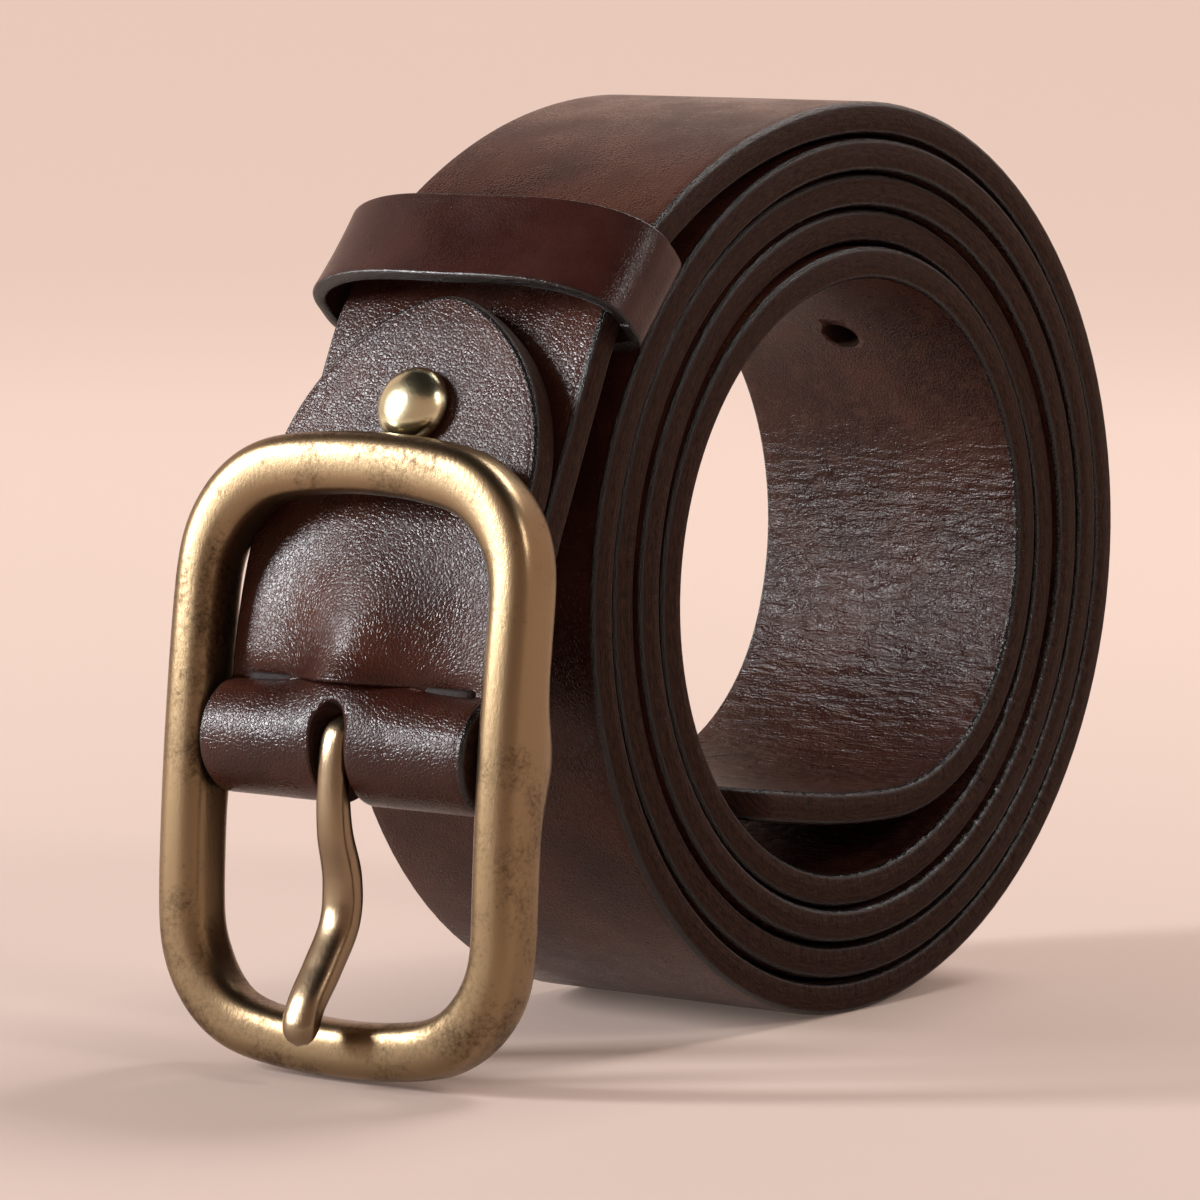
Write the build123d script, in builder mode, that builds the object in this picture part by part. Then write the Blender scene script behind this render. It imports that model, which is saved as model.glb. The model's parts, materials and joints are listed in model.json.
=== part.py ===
from build123d import *
from math import atan2, cos, degrees, hypot, radians, sin, sqrt
import os

os.makedirs("parts", exist_ok=True)

# A leather belt that stands on its edge, wound into a coil, with its buckle in front.
# +X runs across the strap, +Y points away from the buckle, +Z is up, and Z = 0 is the surface
# that it stands on. The origin is under the middle of the whole belt. Sizes are millimetres.

# ---- strap ----
strap_width = 38.0
strap_thickness = 3.8
coil_radius = 53.25          # outer face of the outermost turn, over its back half
turn_gap = 0.4               # air between one turn and the next
turns = 4                    # full turns before the innermost layer
hole_diameter = 4.6
hole_count = 5
hole_pitch = 25.0
tip_to_first_hole = 103.0    # along the strap

# ---- free end, inside the coil ----
tail_leaves_at = 20.0        # degrees below the coil's axis where the innermost layer lifts off
tail_bend_radius = 26.7      # middle of the leather
tail_rise_radius = 130.0
tail_rise = 8.0              # degrees
tail_gap = 0.5               # from the tip to the wall that it points at

# ---- buckle end of the strap, from the top of the coil down to the centre bar ----
lead_ease = 13.75            # how much wider than the coil the leather bends as it leaves it
lead_turn = 36.0             # heading when that bend ends, degrees
neck_radius = 32.1           # the tighter bend under the keeper
neck_turn = 65.5             # heading when that bend ends
bar_side_turn = 88.0         # heading of the leather beside the centre bar
wrap_clearance = 0.3         # leather to centre bar
layer_gap = 0.3              # between the two layers above the fold
crease_radius = 2.6          # where the folded end turns up against the strap
tab_tip_turn = 57.0          # heading of the folded end at its tip
tab_flank_radius = 24.0      # each side of the pointed end is one arc
tab_nose_radius = 9.0
slot_side_gap = 0.8          # each side of the prong, where it passes through the fold
slot_clearance = 1.3         # above the eye of the prong

# ---- centre bar and buckle frame ----
bar_ahead = 14.95            # bar axis ahead of the coil's outer face
bar_radius = 2.4
bar_insertion = 3.4          # length of the bar held in each rail
frame_tilt = 5.3             # degrees, top leaning back
frame_side_gap = 0.4         # each side of the strap
rail_width = 5.4
frame_depth = 6.0
frame_set_back = 0.7         # front face behind the front of the fold
frame_arch_radius = 320.0    # front face, arched from top to bottom
upper_length = 34.9          # bar axis to the top edge
lower_length = 36.8          # bar axis to the bottom edge
top_bar_height = 7.0
bottom_bar_height = 6.4
end_crown = 2.6              # rise of the top and bottom edges at the middle
outer_corner_radius = 9.0
inner_corner_radius = 5.0
front_round = 2.2
back_round = 1.0
boss_wall = 1.5              # round the bar

# ---- prong ----
prong_width = 3.8
prong_thickness = 3.2
prong_bore_clearance = 0.06  # radial
prong_rest_gap = 0.2         # tip to the bottom bar
prong_dip = 1.9              # how far the middle of the prong sets back
prong_overlap = 2.4          # tip past the inner edge of the bottom bar

# ---- keeper ----
keeper_heading = 48.5        # heading of the strap at the keeper's middle, degrees
keeper_band = 11.6
keeper_leather = 1.8
keeper_side_gap = 1.2
keeper_back_gap = 1.0
keeper_front_gap = 4.6
keeper_corner = 3.3          # outer corners
keeper_stitch_count = 3
keeper_stitch_length = 6.0
keeper_stitch_pitch = 2.9
thread = 0.5
thread_fit = 0.05

# ---- rivet and lace ----
rivet_below_neck = 8.7       # along the strap, under the end of the tighter bend
rivet_dome_radius = 4.6
rivet_dome_height = 3.0
rivet_socket_depth = 1.8
rivet_shank_radius = 1.5
rivet_hole_fit = 0.1
rivet_foot_radius = 4.2
rivet_foot_height = 0.9
lace_above_crease = 0.8
lace_centre = 12.4           # each side of the middle
lace_length = 7.0
lace_width = 1.8
lace_thickness = 1.1
lace_fit = 0.05


bar_reach = coil_radius + bar_ahead
lead_radius = coil_radius + lead_ease
wrap_inner = bar_radius + wrap_clearance
frame_inner_width = strap_width + 2 * frame_side_gap
frame_outer_width = frame_inner_width + 2 * rail_width
frame_front = wrap_inner + strap_thickness - frame_set_back
slot_width = prong_width + 2 * slot_side_gap


def heading(angle):
    """Unit direction in the Y-Z plane, measured from +Y towards +Z."""
    return Vector(0, cos(radians(angle)), sin(radians(angle)))


def outward(angle):
    """Unit normal to a heading, on the outer side of the coil."""
    return heading(angle + 90)


# ==== buckle, drawn about the axis of its centre bar ====
# The buckle's own plane: X across, Y up along the frame, Z out of its front face.
buckle_plane = Plane(origin=(0, 0, 0), x_dir=(1, 0, 0), z_dir=heading(180 - frame_tilt))
side_plane = Plane(origin=(0, 0, 0), x_dir=buckle_plane.z_dir, z_dir=(-1, 0, 0))
arch_centre = frame_front - frame_arch_radius


def front_at(height):
    """How far the arched front face stands ahead of the bar's axis, at a height along the frame."""
    return arch_centre + sqrt(frame_arch_radius**2 - height**2)


def on_arch(edge, radius):
    """Whether an edge lies all along the arched face of this radius."""
    points = [side_plane.to_local_coords(edge.position_at(share)) for share in (0, 0.5, 1)]
    return all(abs(hypot(point.X - arch_centre, point.Y) - radius) < 0.01 for point in points)


def rounded_outline(width, top, bottom, corner):
    """A closed outline about the bar's axis, with crowned ends and rounded corners."""
    side = width / 2
    with BuildSketch(mode=Mode.PRIVATE) as outline:
        with BuildLine():
            shoulder = top - end_crown
            top_edge = ThreePointArc((-side, shoulder), (0, top), (side, shoulder))
            shoulder = end_crown - bottom
            low_edge = ThreePointArc((-side, shoulder), (0, -bottom), (side, shoulder))
            Line(top_edge @ 0, low_edge @ 0)
            Line(top_edge @ 1, low_edge @ 1)
        make_face()
        fillet(outline.vertices(), corner)
    return outline.sketch


# ---- frame: a cast ring, arched from top to bottom, with a boss in each rail for the bar ----
arch_sweep = degrees(upper_length + lower_length) / frame_arch_radius
back_arch_radius = frame_arch_radius - frame_depth
with BuildPart() as buckle_frame:
    with BuildSketch(side_plane):
        with BuildLine():
            front_arc = CenterArc((arch_centre, 0), frame_arch_radius, -arch_sweep, 2 * arch_sweep)
            back_arc = CenterArc((arch_centre, 0), back_arch_radius, -arch_sweep, 2 * arch_sweep)
            Line(front_arc @ 0, back_arc @ 0)
            Line(front_arc @ 1, back_arc @ 1)
        make_face()
    extrude(amount=frame_outer_width, both=True)
    window_top = upper_length - top_bar_height
    window_bottom = lower_length - bottom_bar_height
    with BuildSketch(buckle_plane):
        add(rounded_outline(frame_outer_width, upper_length, lower_length, outer_corner_radius))
        window = rounded_outline(frame_inner_width, window_top, window_bottom, inner_corner_radius)
        add(window, mode=Mode.SUBTRACT)
    extrude(amount=frame_outer_width, both=True, mode=Mode.INTERSECT)
    fillet(buckle_frame.edges().filter_by(lambda edge: on_arch(edge, frame_arch_radius)), front_round)
    fillet(buckle_frame.edges().filter_by(lambda edge: on_arch(edge, back_arch_radius)), back_round)
    for side in (-1, 1):
        with BuildSketch(Plane.YZ.offset(side * frame_inner_width / 2)):
            Circle(bar_radius + boss_wall)
        extrude(amount=side * (rail_width - back_round))
    with BuildSketch(Plane.YZ):
        Circle(bar_radius)
    extrude(amount=frame_inner_width / 2 + bar_insertion, both=True, mode=Mode.SUBTRACT)

# ---- centre bar: a plain pin held in both rails ----
with BuildPart() as centre_bar:
    with BuildSketch(Plane.YZ):
        Circle(bar_radius)
    extrude(amount=frame_inner_width / 2 + bar_insertion, both=True)

# ---- prong: an eye that turns on the bar, and a shank that dips and then meets the bottom bar ----
eye_bore = bar_radius + prong_bore_clearance
eye_radius = eye_bore + prong_thickness
prong_tip = -(window_bottom + prong_overlap)
tip_middle = front_at(prong_tip) + prong_rest_gap + prong_thickness / 2
shank_middle = eye_bore + prong_thickness / 2
with BuildPart() as prong:
    with BuildSketch(side_plane):
        with BuildLine() as shank_line:
            Spline(
                (shank_middle, 0),
                (shank_middle - prong_dip, prong_tip / 2),
                (tip_middle, prong_tip),
                tangents=((0, -1), (0, -1)),
            )
        trace(shank_line.line, prong_thickness)
        Circle(eye_radius)
        Circle(eye_bore, mode=Mode.SUBTRACT)
    extrude(amount=prong_width / 2, both=True)

# ==== where the buckle stands: the frame's bottom edge touches the surface ====
buckle_boxes = [piece.part.bounding_box() for piece in (buckle_frame, prong)]
bar_height = -min(box.min.Z for box in buckle_boxes)
buckle_nose = -min(box.min.Y for box in buckle_boxes)
coil_y = (bar_reach + buckle_nose - coil_radius) / 2
bar = Vector(0, coil_y - bar_reach, bar_height)

# ==== the strap's route, along the middle of the leather ====
turn_pitch = strap_thickness + turn_gap
layer_pitch = strap_thickness + layer_gap
middle_radius = coil_radius - strap_thickness / 2
coil_top = Vector(0, coil_y, coil_radius + middle_radius)
wrap_radius = wrap_inner + strap_thickness / 2
bar_back = bar - outward(bar_side_turn) * wrap_radius

# Between the bar and the neck the leather hangs in one long bend and a straight run. The bend's
# radius and the run's length are the two that close the route on the coil.
neck_bend = (outward(lead_turn) - outward(neck_turn)) * neck_radius
lead_bend = (outward(0) - outward(lead_turn)) * lead_radius
rest = coil_top - bar_back - neck_bend - lead_bend
drape = outward(neck_turn) - outward(bar_side_turn)
run = heading(neck_turn)
cross = drape.Y * run.Z - drape.Z * run.Y
drape_radius = (rest.Y * run.Z - rest.Z * run.Y) / cross
straight_run = (drape.Y * rest.Z - drape.Z * rest.Y) / cross

with BuildLine(Plane.YZ) as coil_route:
    step = JernArc(bar_back, heading(bar_side_turn), drape_radius, neck_turn - bar_side_turn)
    step = Line(step @ 1, step @ 1 + run * straight_run)
    neck_end = step @ 1
    step = JernArc(step @ 1, step % 1, neck_radius, lead_turn - neck_turn)
    step = JernArc(step @ 1, step % 1, lead_radius, -lead_turn)
    for turn in range(turns):
        back_radius = middle_radius - turn * turn_pitch
        step = JernArc(step @ 1, step % 1, back_radius, -180)
        step = JernArc(step @ 1, step % 1, back_radius - turn_pitch / 2, -180)
    innermost_radius = middle_radius - turns * turn_pitch
    step = JernArc(step @ 1, step % 1, innermost_radius, -90 - tail_leaves_at)
    step = JernArc(step @ 1, step % 1, tail_bend_radius, tail_leaves_at - 90)
    step = JernArc(step @ 1, step % 1, tail_rise_radius, -tail_rise)
    # The last run points at the inside of the turn in front of it, and stops short of it.
    wall_centre = Vector(0, coil_y, coil_radius - turn_pitch / 2)
    wall_radius = innermost_radius + turn_pitch / 2 - strap_thickness / 2
    toe = step @ 1 + (step % 1).rotate(Axis.X, 90) * (strap_thickness / 2) - wall_centre
    along = toe.dot(step % 1)
    tail_run = sqrt(along**2 - toe.dot(toe) + wall_radius**2) - along - tail_gap
    Line(step @ 1, step @ 1 + (step % 1) * tail_run)

# The fold: round the bar, then a crease that brings the end up against the strap.
drape_centre = bar_back - outward(bar_side_turn) * drape_radius
tab_drape_radius = drape_radius + layer_pitch
to_drape = drape_centre - bar
near = wrap_radius + crease_radius
far = tab_drape_radius + crease_radius
back = to_drape.normalized()
back_part = (to_drape.length**2 + near**2 - far**2) / (2 * to_drape.length)
crease_centre = bar + back * back_part + back.rotate(Axis.X, 90) * sqrt(near**2 - back_part**2)
from_bar = crease_centre - bar
from_drape = crease_centre - drape_centre
wrap_end = degrees(atan2(from_bar.Z, from_bar.Y))
crease_end = degrees(atan2(from_drape.Z, from_drape.Y)) - 90
wrap_turn = 270 + bar_side_turn - wrap_end
crease_turn = crease_end - (wrap_end - 90)

with BuildLine(Plane.YZ) as fold_route:
    step = JernArc(bar_back, -heading(bar_side_turn), wrap_radius, -wrap_turn)
    step = JernArc(step @ 1, step % 1, crease_radius, crease_turn)
    crease_top = step @ 1

with BuildLine(Plane.YZ) as tab_route:
    step = JernArc(crease_top, heading(crease_end), tab_drape_radius, neck_turn - crease_end)
    step = Line(step @ 1, step @ 1 + run * straight_run)
    step = JernArc(step @ 1, step % 1, neck_radius + layer_pitch, tab_tip_turn - neck_turn)
    tab_tip = step @ 1


def across(point, direction):
    """The plane that cuts the strap square at a point of its route."""
    return Plane(origin=point, x_dir=(1, 0, 0), z_dir=direction)


tab_plane = Plane(origin=tab_tip, x_dir=(1, 0, 0), z_dir=outward(neck_turn))
tab_shoulder = sqrt(tab_flank_radius**2 - (tab_flank_radius - strap_width / 2) ** 2)
tab_foot = 2 * (tab_tip - crease_top).length
rivet_plane = Plane(origin=neck_end - run * rivet_below_neck, x_dir=(1, 0, 0), z_dir=outward(neck_turn))
lace_middle = crease_top + heading(crease_end) * lace_above_crease - outward(crease_end) * layer_pitch / 2
lace_plane = across(lace_middle, -heading(crease_end))
stack = 2 * strap_thickness + layer_gap


def loop_profile(length, height, wall):
    """A closed flat loop of thread or lace: two long sides and the two legs that join them."""
    Rectangle(length + wall, height + 2 * wall)
    Rectangle(length - wall, height, mode=Mode.SUBTRACT)


# ---- folded end: lies over the strap, pointed, with a rounded tip ----
with BuildPart() as tab_layer:
    with BuildSketch(across(crease_top, heading(crease_end))):
        Rectangle(strap_width, strap_thickness)
    sweep(path=tab_route.wire())
    with BuildSketch(tab_plane) as tab_outline:
        with BuildLine():
            left = RadiusArc((-strap_width / 2, -tab_shoulder), (0, 0), tab_flank_radius)
            right = RadiusArc((0, 0), (strap_width / 2, -tab_shoulder), tab_flank_radius)
            side = Line(right @ 1, (strap_width / 2, -tab_foot))
            foot = Line(side @ 1, (-strap_width / 2, -tab_foot))
            Line(foot @ 1, left @ 0)
        make_face()
        fillet(tab_outline.vertices().sort_by_distance((0, 0, 0))[0], tab_nose_radius)
    extrude(amount=tab_foot, both=True, mode=Mode.INTERSECT)

# ---- strap: one length of leather, from the tail inside the coil to the end of the fold ----
with BuildPart() as strap:
    with BuildSketch(across(bar_back, heading(bar_side_turn))):
        Rectangle(strap_width, strap_thickness)
    sweep(path=coil_route.wire())
    with BuildSketch(across(bar_back, -heading(bar_side_turn))):
        Rectangle(strap_width, strap_thickness)
    sweep(path=fold_route.wire())
    add(tab_layer.part)
    # belt holes, each through one layer of the coil
    route = coil_route.wire()
    for hole in range(hole_count):
        place = 1 - (tip_to_first_hole + hole * hole_pitch) / route.length
        with BuildSketch(Plane(origin=route @ place, z_dir=(route % place).rotate(Axis.X, 90))):
            Circle(hole_diameter / 2)
        extrude(amount=(strap_thickness + turn_gap) / 2, both=True, mode=Mode.SUBTRACT)
    # slot for the prong, from behind the bar round to the front of the fold
    slot_top = eye_radius + slot_clearance
    with BuildSketch(Plane.XZ.offset(-bar.Y)):
        with Locations((0, bar.Z + slot_top - 2 * wrap_radius)):
            SlotOverall(4 * wrap_radius, slot_width, rotation=90)
    extrude(amount=wrap_radius + strap_thickness, both=True, mode=Mode.SUBTRACT)
    # holes for the rivet and the lace
    with BuildSketch(rivet_plane.offset(-strap_thickness / 2 - layer_gap)):
        Circle(rivet_shank_radius + rivet_hole_fit)
    extrude(amount=stack + 2 * layer_gap, mode=Mode.SUBTRACT)
    with BuildSketch(lace_plane):
        for side in (-1, 1):
            for leg in (-1, 1):
                with Locations((side * lace_centre + leg * lace_length / 2, 0)):
                    Rectangle(lace_thickness + 2 * lace_fit, 3 * layer_pitch)
    extrude(amount=lace_width / 2 + lace_fit, both=True, mode=Mode.SUBTRACT)

# ---- rivet: a foot and shank from behind, and a domed cap pressed on in front ----
with BuildPart() as rivet_post:
    with BuildSketch(rivet_plane.offset(-strap_thickness / 2)):
        Circle(rivet_foot_radius)
    extrude(amount=-rivet_foot_height)
    with BuildSketch(rivet_plane.offset(-strap_thickness / 2)):
        Circle(rivet_shank_radius)
    extrude(amount=stack + rivet_socket_depth)

cap_plane = rivet_plane.offset(stack - strap_thickness / 2)
dome_radius = (rivet_dome_radius**2 + rivet_dome_height**2) / (2 * rivet_dome_height)
with BuildPart() as rivet_cap:
    with BuildSketch(Plane(origin=cap_plane.origin, x_dir=(1, 0, 0), z_dir=run)):
        with BuildLine():
            base = Line((0, 0), (rivet_dome_radius, 0))
            dome = RadiusArc(base @ 1, (0, -rivet_dome_height), dome_radius)
            Line(dome @ 1, base @ 0)
        make_face()
    revolve(axis=Axis(cap_plane.origin, cap_plane.z_dir))
    with BuildSketch(cap_plane):
        Circle(rivet_shank_radius)
    extrude(amount=rivet_socket_depth, mode=Mode.SUBTRACT)



def lace_stitch(centre):
    """One flat stitch of lace, round both layers above the fold."""
    with BuildPart() as lace:
        with BuildSketch(lace_plane):
            with Locations((centre, 0)):
                loop_profile(lace_length, stack + 2 * lace_fit, lace_thickness)
        extrude(amount=lace_width / 2, both=True)
    return lace.part


# ---- lace: a stitch each side of the prong ----
lace_left = lace_stitch(-lace_centre)
lace_right = lace_stitch(lace_centre)

# ---- keeper: a band of leather round the strap, closed behind it with thread ----
neck_centre = neck_end - outward(neck_turn) * neck_radius
keeper_middle = neck_centre + outward(keeper_heading) * neck_radius
keeper_plane = across(keeper_middle, -heading(keeper_heading))
keeper_inner_width = strap_width + 2 * keeper_side_gap
keeper_inner_height = strap_thickness + keeper_back_gap + keeper_front_gap
keeper_rise = (keeper_front_gap - keeper_back_gap) / 2
keeper_back = keeper_rise - keeper_inner_height / 2 - keeper_leather / 2
stitch_rows = range(keeper_stitch_count)
stitch_places = [(row - (keeper_stitch_count - 1) / 2) * keeper_stitch_pitch for row in stitch_rows]
with BuildPart() as keeper_loop:
    with BuildSketch(keeper_plane):
        with Locations((0, keeper_rise)):
            RectangleRounded(
                keeper_inner_width + 2 * keeper_leather,
                keeper_inner_height + 2 * keeper_leather,
                keeper_corner,
            )
            RectangleRounded(
                keeper_inner_width,
                keeper_inner_height,
                keeper_corner - keeper_leather,
                mode=Mode.SUBTRACT,
            )
    extrude(amount=keeper_band / 2, both=True)
    for place in stitch_places:
        with BuildSketch(keeper_plane.offset(place)):
            for side in (-1, 1):
                with Locations((side * keeper_stitch_length / 2, keeper_back)):
                    Rectangle(thread + 2 * thread_fit, 2 * keeper_leather)
        extrude(amount=thread / 2 + thread_fit, both=True, mode=Mode.SUBTRACT)

with BuildPart() as keeper_stitches:
    for place in stitch_places:
        with BuildSketch(keeper_plane.offset(place)):
            with Locations((0, keeper_back)):
                loop_profile(keeper_stitch_length, keeper_leather + 2 * thread_fit, thread)
        extrude(amount=thread / 2, both=True)

# ==== the buckle goes to its place on the strap ====
at_bar = Location(bar)
pieces = {
    "strap": strap.part,
    "lace_left": lace_left,
    "lace_right": lace_right,
    "rivet_post": rivet_post.part,
    "rivet_cap": rivet_cap.part,
    "keeper_loop": keeper_loop.part,
    "keeper_stitches": keeper_stitches.part,
    "buckle_frame": at_bar * buckle_frame.part,
    "centre_bar": at_bar * centre_bar.part,
    "prong": at_bar * prong.part,
}
for name, piece in pieces.items():
    piece.label = name
    export_step(piece, f"parts/{name}.step")

routes = (coil_route, fold_route, tab_route)
print("bar axis", bar, "coil axis at Y", coil_y)
print("strap length", sum(line.wire().length for line in routes))
print("keeper slides about", neck_centre, "from", keeper_middle)
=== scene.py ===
# %% [markdown]
# # A leather belt, rolled up and standing on its edge
#
# The belt is one long strip of thick leather. Its free end lies inside a coil, and its other end
# comes down in front, goes round the bar of a brass buckle and is folded up on itself. A rivet
# and two stitches of lace hold the fold, and a leather keeper sits on the strap above it.
#
# The CAD part is loaded first. It fixes the place of every body and the axis of every joint, and
# the finished pieces keep close to its sizes.

# %% Load the fixed frame
import json

import bmesh
import bpy
import numpy as np
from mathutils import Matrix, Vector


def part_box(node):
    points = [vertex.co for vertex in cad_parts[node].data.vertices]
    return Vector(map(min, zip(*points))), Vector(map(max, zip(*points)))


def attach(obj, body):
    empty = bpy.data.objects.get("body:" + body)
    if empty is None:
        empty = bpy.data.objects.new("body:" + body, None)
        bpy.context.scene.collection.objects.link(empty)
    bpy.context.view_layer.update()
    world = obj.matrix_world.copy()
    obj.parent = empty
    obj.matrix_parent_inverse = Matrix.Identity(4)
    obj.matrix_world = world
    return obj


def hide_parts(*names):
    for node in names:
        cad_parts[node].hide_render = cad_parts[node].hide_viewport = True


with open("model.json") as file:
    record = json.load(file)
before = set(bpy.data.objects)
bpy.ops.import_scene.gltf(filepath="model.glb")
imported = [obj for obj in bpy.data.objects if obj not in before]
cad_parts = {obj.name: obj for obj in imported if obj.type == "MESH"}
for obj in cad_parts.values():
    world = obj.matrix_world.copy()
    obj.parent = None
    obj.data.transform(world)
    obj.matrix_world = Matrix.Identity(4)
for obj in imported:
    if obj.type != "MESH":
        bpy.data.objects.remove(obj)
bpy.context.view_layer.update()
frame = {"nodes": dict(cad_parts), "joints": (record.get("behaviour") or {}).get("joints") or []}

MM = 0.001
joints = {joint["name"]: joint for joint in frame["joints"]}

# %% [markdown]
# ## The camera
#
# The camera comes first, so that each piece can be judged from the belt's best side. It stands
# to the right of the buckle, a little above the middle of the coil, and a long lens keeps the
# coil from looking stretched. It aims at a point left of the coil's axis, so it needs no shift.

# %% A long lens, low and to the right
def direction(azimuth, elevation):
    """Unit vector from the belt to a viewer: azimuth 0 is in front of the buckle, 90 on the right."""
    turn, rise = np.radians([azimuth, elevation])
    return np.array([np.sin(turn) * np.cos(rise), -np.cos(turn) * np.cos(rise), np.sin(rise)])


def aim(thing, place, target):
    """Puts a camera or a light at a place and turns its -Z axis to the target."""
    thing.location = place
    away = thing.location - type(thing.location)(target)
    thing.rotation_euler = away.to_track_quat("Z", "Y").to_euler()


camera_target = np.array([-19.45, 12.73, 46.06]) * MM
camera_distance = 854.2 * MM
camera = bpy.data.objects.new("camera", bpy.data.cameras.new("camera"))
bpy.context.scene.collection.objects.link(camera)
bpy.context.scene.camera = camera
camera.data.sensor_width = 36
camera.data.lens = 214
camera.data.clip_start = 0.05
aim(camera, camera_target + camera_distance * direction(37.5, 6.06), camera_target)
print("camera at", [round(v, 3) for v in camera.location])

# %% [markdown]
# ## The stage and the lights
#
# The belt stands on a pale round floor that curves up into a wall, so no edge shows behind it
# from any side. The floor is one surface turned about the upright axis: flat, then a quarter
# circle, then upright. It glows a little more with distance, and most behind the belt.
# A tall soft box at the front left makes the highlights on leather and brass. A weaker one at the
# right lights the cut edges, and one behind and above lights the top of the coil and the keeper.

# %% The floor and its wall
def skin(name, points, layers=(), wrap_rows=False):
    """A mesh over a grid of points whose rows are rings: one four-sided face between each four
    neighbours. Layers are pairs of a name and a grid of UV values. Faces are turned so that a
    closed skin faces outwards."""
    rows, columns = points.shape[:2]
    row = np.arange(rows if wrap_rows else rows - 1)[:, None]
    column = np.arange(columns)[None, :]
    below, beside = (row + 1) % rows, (column + 1) % columns
    this_row, next_row = row * columns, below * columns
    corners = (this_row + column, this_row + beside, next_row + beside, next_row + column)
    quads = np.stack(np.broadcast_arrays(*corners), -1).reshape(-1, 4)
    flat = points.reshape(-1, 3)
    a, b, c, d = (flat[quads[:, k]] for k in range(4))
    if np.einsum("ij,ij->i", a - flat[0], np.cross(b - a, c - a) + np.cross(c - a, d - a)).sum() < 0:
        quads = quads[:, ::-1]
    mesh = bpy.data.meshes.new(name)
    mesh.from_pydata(flat.tolist(), [], quads.tolist())
    for layer, values in layers:
        uv = mesh.uv_layers.new(name=layer)
        uv.data.foreach_set("uv", values.reshape(-1, 2)[quads.ravel()].ravel().astype(np.float32))
    whole = bmesh.new()
    whole.from_mesh(mesh)
    bmesh.ops.remove_doubles(whole, verts=whole.verts, dist=1e-3 * MM)
    whole.to_mesh(mesh)
    whole.free()
    mesh.shade_smooth()
    piece = bpy.data.objects.new(name, mesh)
    bpy.context.scene.collection.objects.link(piece)
    return piece


floor_flat, floor_curve, wall_height = 1.4, 0.6, 1.4
arc_run = floor_curve * np.pi / 2
reach = np.linspace(0, 1, 61) * (floor_flat + arc_run + wall_height)
bend = np.clip((reach - floor_flat) / floor_curve, 0, np.pi / 2)
floor_radius = np.minimum(reach, floor_flat) + floor_curve * np.sin(bend)
floor_z = floor_curve * (1 - np.cos(bend)) + np.maximum(reach - floor_flat - arc_run, 0)
turned = np.linspace(0, 2 * np.pi, 129)[:-1]
floor_xy = floor_radius[:, None] * np.exp(1j * turned)
floor_points = np.stack(np.broadcast_arrays(floor_xy.real, floor_xy.imag, floor_z[:, None]), -1)
floor = skin("floor", floor_points)
print("floor", floor.dimensions)

# %% Lights
def soft_box(name, azimuth, elevation, distance, size, power, colour):
    """A rectangular area light that looks at the middle of the coil."""
    light = bpy.data.objects.new(name, bpy.data.lights.new(name, "AREA"))
    light.data.shape = "RECTANGLE"
    light.data.size, light.data.size_y = size
    light.data.energy = power
    light.data.color = colour
    bpy.context.scene.collection.objects.link(light)
    middle = np.array([0, 0, 50 * MM])
    aim(light, middle + distance * direction(azimuth, elevation), middle)


soft_box("key", -46, 19, 0.95, (0.16, 0.38), 12, (0.95, 0.97, 1.0))
soft_box("rim", 88, 36, 1.0, (0.10, 0.30), 2.0, (1.0, 0.97, 0.95))
soft_box("top", 172, 55, 0.9, (0.4, 0.3), 6, (1.0, 0.95, 0.92))
world = bpy.data.worlds.new("studio")
bpy.context.scene.world = world
world.use_nodes = True
world.node_tree.nodes["Background"].inputs["Color"].default_value = (1.0, 0.86, 0.78, 1)
world.node_tree.nodes["Background"].inputs["Strength"].default_value = 0.01
bpy.context.scene.view_settings.view_transform = "Standard"

# %% [markdown]
# ## The line that the leather follows
#
# Seen from the side, the strap is a chain of arcs and straight runs, each starting in the
# direction that the last one ends in. A point on such a chain can be written as one complex
# number, Y + iZ, and a bend is then a single formula: from a start, with unit heading h and
# curvature k, the point after a distance s is start + h (exp(iks) - 1) / (ik). That works for
# thousands of points at once, so the whole belt is one calculation.
#
# Distance 0 is behind the buckle's bar. It grows up the strap and into the coil, and it is
# negative round the bar and up the folded end.

# %% Sizes of the belt, in millimetres
strap_width, strap_thickness = 38.0, 3.8
half = strap_thickness / 2
turn_pitch = strap_thickness + 0.4
layer_pitch = strap_thickness + 0.3
turns = 4
low, high = (np.array(corner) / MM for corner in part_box("strap"))
coil_radius = high[2] / 2
coil_y = high[1] - coil_radius
bar = complex(*np.array(joints["buckle_hinge"]["pos_m"])[1:] / MM)
bar_radius, wrap_clearance = 2.4, 0.3
print("coil radius", round(coil_radius, 2), "coil axis at Y", round(coil_y, 2), "bar", bar)

# %% Chains of arcs and runs
def unit(degrees):
    """Unit heading in the side view, measured from +Y towards +Z."""
    return np.exp(1j * np.radians(degrees))


def bend_by(curvature, length):
    """Where a bend of this curvature and length ends, seen along its own first heading."""
    turn = curvature * length
    straight = np.abs(curvature) < 1e-9
    safe = np.where(straight, 1, curvature)
    return np.where(straight, length, (np.exp(1j * turn) - 1) / (1j * safe))


def plan(start, degrees, bends):
    """A chain of bends, each a radius and a turn in degrees, or a length and a turn of 0."""
    size, turn = np.array(bends, float).T
    length = np.where(turn == 0, size, size * np.abs(np.radians(turn)))
    curvature = np.radians(turn) / length
    heading = np.radians(degrees) + np.concatenate([[0], np.cumsum(np.radians(turn))])
    steps = np.exp(1j * heading[:-1]) * bend_by(curvature, length)
    point = start + np.concatenate([[0], np.cumsum(steps)])
    begins = np.concatenate([[0], np.cumsum(length)])
    return {"from": begins, "point": point, "heading": heading, "curvature": curvature}


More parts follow.
